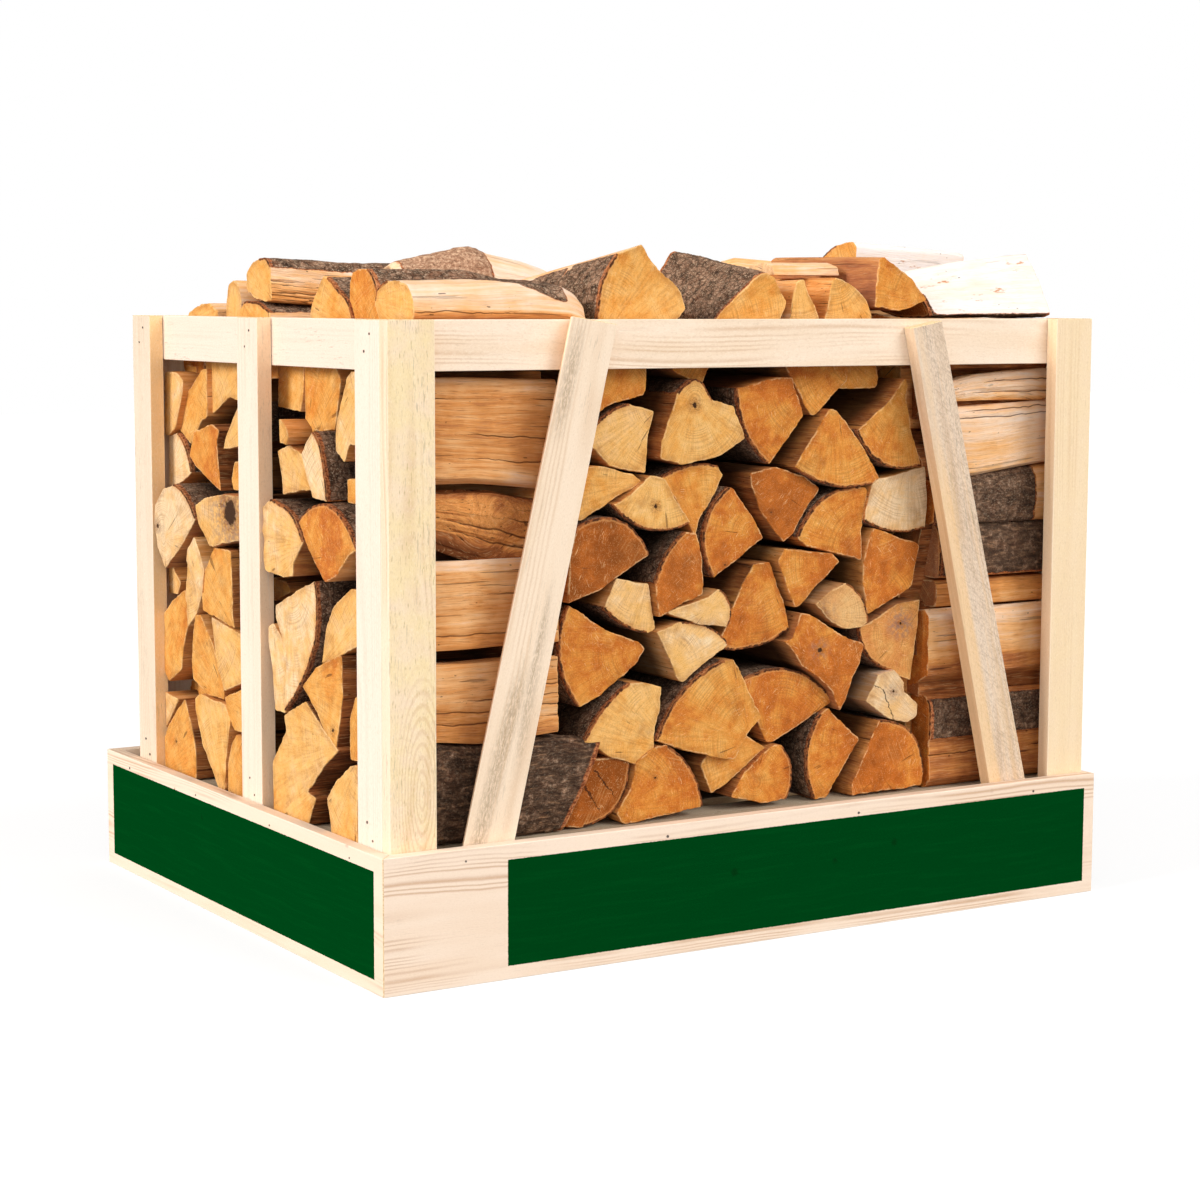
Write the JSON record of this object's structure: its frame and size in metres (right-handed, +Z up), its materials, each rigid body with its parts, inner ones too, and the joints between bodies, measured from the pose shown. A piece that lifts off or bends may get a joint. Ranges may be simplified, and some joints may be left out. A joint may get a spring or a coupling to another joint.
{
  "type": "crate of firewood",
  "caption": "Slatted softwood crate with slanted braces on a boxed, green panelled plinth, packed and heaped with short split beech logs, end grain outwards.",
  "frame": {"origin": "on the ground under the middle of the plinth", "axes": "+X to the right along the front, +Y to the back, +Z up"},
  "size_m": [1.122, 0.898, 0.913],
  "materials": {
    "plinth_board": "planed spruce with a matt green painted panel and bare edges",
    "pallet_board": "rough sawn softwood, weathered grey",
    "frame_board": "planed pale softwood, untreated",
    "sawn_board": "rough sawn softwood, slightly grey",
    "beech_log": "air dried split beech: sawn ends, split faces and grey bark"
  },
  "bodies": {
    "root": {"plinth_board_front": "plinth_board", "plinth_board_right": "plinth_board", "plinth_board_back": "plinth_board", "plinth_board_left": "plinth_board", "deck_board_1": "pallet_board", "deck_board_2": "pallet_board", "deck_board_3": "pallet_board", "deck_board_4": "pallet_board", "deck_board_5": "pallet_board", "pallet_bearer_1": "pallet_board", "pallet_bearer_2": "pallet_board", "pallet_bearer_3": "pallet_board", "corner_front_left_face": "frame_board", "corner_front_left_side": "frame_board", "corner_front_right_face": "frame_board", "corner_front_right_side": "frame_board", "corner_back_left_side": "frame_board", "corner_back_left_face": "frame_board", "corner_back_right_side": "frame_board", "corner_back_right_face": "frame_board", "middle_post_left": "frame_board", "middle_post_right": "frame_board", "rail_front": "frame_board", "rail_back": "frame_board", "rail_left": "frame_board", "rail_right": "frame_board", "brace_front_left": "frame_board", "brace_front_right": "sawn_board", "brace_back_left": "frame_board", "brace_back_right": "sawn_board", "log_stack_left": "beech_log", "log_stack_right": "beech_log", "log_stack_middle": "beech_log", "log_left_column_1": "beech_log", "log_left_column_2": "beech_log", "log_left_column_3": "beech_log", "log_left_column_4": "beech_log", "log_left_column_5": "beech_log", "log_right_column_1": "beech_log", "log_right_column_2": "beech_log", "log_right_column_3": "beech_log", "log_right_column_4": "beech_log", "log_right_column_5": "beech_log", "log_heap_bark_wedge": "beech_log", "log_heap_bark_leaning": "beech_log", "log_heap_thin_wedge": "beech_log", "log_heap_quarter": "beech_log", "log_heap_orange": "beech_log", "log_heap_corner": "beech_log", "log_heap_scratched": "beech_log", "log_heap_segment": "beech_log", "log_heap_round_left": "beech_log", "log_heap_flat_left": "beech_log", "log_heap_rounded_end": "beech_log", "log_heap_low_left": "beech_log", "log_heap_bark_hump": "beech_log", "log_heap_pale_back": "beech_log", "log_heap_thin_split": "beech_log", "log_heap_half_round": "beech_log", "log_heap_white_round": "beech_log"}
  },
  "joints": []
}
